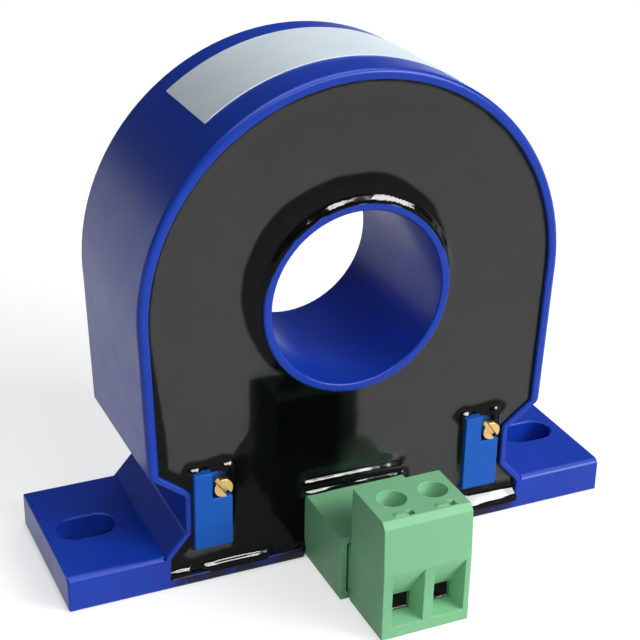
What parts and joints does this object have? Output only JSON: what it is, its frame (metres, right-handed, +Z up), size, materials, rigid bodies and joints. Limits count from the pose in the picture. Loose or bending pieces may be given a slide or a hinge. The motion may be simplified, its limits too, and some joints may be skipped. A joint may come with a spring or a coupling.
{
  "type": "current transducer",
  "caption": "Panel-mount current transducer: arched resin-filled housing with a round cable aperture, slotted feet, adjusting trimmers and a pluggable screw terminal",
  "frame": {"origin": "on the base plane, midway between the two mounting slots", "axes": "+X to the right along the row of feet, +Z up from the base, the resin-filled front with the terminal faces -Y"},
  "size_m": [0.07, 0.0396, 0.0594],
  "materials": {
    "housing_blue": "glossy royal blue moulded plastic",
    "black_resin": "glossy poured resin",
    "core_steel": "wound strip",
    "tape": "film tape",
    "copper": "enamelled copper wire",
    "board_green": "solder mask",
    "chip_black": "moulded",
    "can_aluminium": "drawn can",
    "resistor_ceramic": "lacquered",
    "trimmer_blue": "satin azure moulded plastic",
    "screw_brass": "turned",
    "tinned_metal": "tinned",
    "terminal_green": "satin green moulded plastic",
    "contact_brass": "tinned strip",
    "cage_steel": "zinc plated",
    "label_film": "blank satin label film"
  },
  "bodies": {
    "base": {"housing": "housing_blue", "potting_compound": "black_resin", "magnetic_core": "core_steel", "core_insulation": "tape", "secondary_winding": "copper", "winding_leads": "copper", "circuit_board": "board_green", "amplifier_chip": "chip_black", "rectifier_bridge": "chip_black", "smoothing_capacitor": "can_aluminium", "burden_resistor": "resistor_ceramic", "surge_diode": "chip_black", "chip_resistors": "resistor_ceramic", "zero_trimmer_body": "trimmer_blue", "zero_trimmer_pins": "tinned_metal", "span_trimmer_body": "trimmer_blue", "span_trimmer_pins": "tinned_metal", "terminal_header": "terminal_green", "header_pins": "tinned_metal", "rating_label": "label_film"},
    "plug": {"terminal_plug": "terminal_green", "plug_contacts": "contact_brass"},
    "zero_screw": {"zero_trimmer_screw": "screw_brass"},
    "span_screw": {"span_trimmer_screw": "screw_brass"},
    "left_clamp_screw": {"clamp_screw_left": "cage_steel"},
    "left_clamp_cage": {"clamp_cage_left": "cage_steel"},
    "right_clamp_screw": {"clamp_screw_right": "cage_steel"},
    "right_clamp_cage": {"clamp_cage_right": "cage_steel"}
  },
  "joints": [
    {"name": "plug_pull", "type": "slide", "parent": "base", "child": "plug", "axis": [0, -1, 0], "range_m": [0, 0.012]},
    {"name": "zero_adjust", "type": "hinge", "parent": "base", "child": "zero_screw", "pos_m": [-0.01666, -0.0106, 0.01255], "axis": [0, 1, 0], "continuous": true},
    {"name": "span_adjust", "type": "hinge", "parent": "base", "child": "span_screw", "pos_m": [0.01809, -0.0106, 0.01255], "axis": [0, 1, 0], "continuous": true},
    {"name": "left_clamp_turn", "type": "hinge", "parent": "plug", "child": "left_clamp_screw", "pos_m": [-0.0019, -0.02345, 0.0114], "axis": [0, 0, -1], "range_deg": [0, 1800]},
    {"name": "left_clamp_rise", "type": "slide", "parent": "plug", "child": "left_clamp_cage", "axis": [0, 0, 1], "range_m": [0, 0.00225]},
    {"name": "right_clamp_turn", "type": "hinge", "parent": "plug", "child": "right_clamp_screw", "pos_m": [0.00318, -0.02345, 0.0114], "axis": [0, 0, -1], "range_deg": [0, 1800]},
    {"name": "right_clamp_rise", "type": "slide", "parent": "plug", "child": "right_clamp_cage", "axis": [0, 0, 1], "range_m": [0, 0.00225]}
  ],
  "couplings": [
    {"joint": "left_clamp_turn", "follows": "left_clamp_rise", "rad_per_m": 13963},
    {"joint": "right_clamp_turn", "follows": "right_clamp_rise", "rad_per_m": 13963}
  ]
}
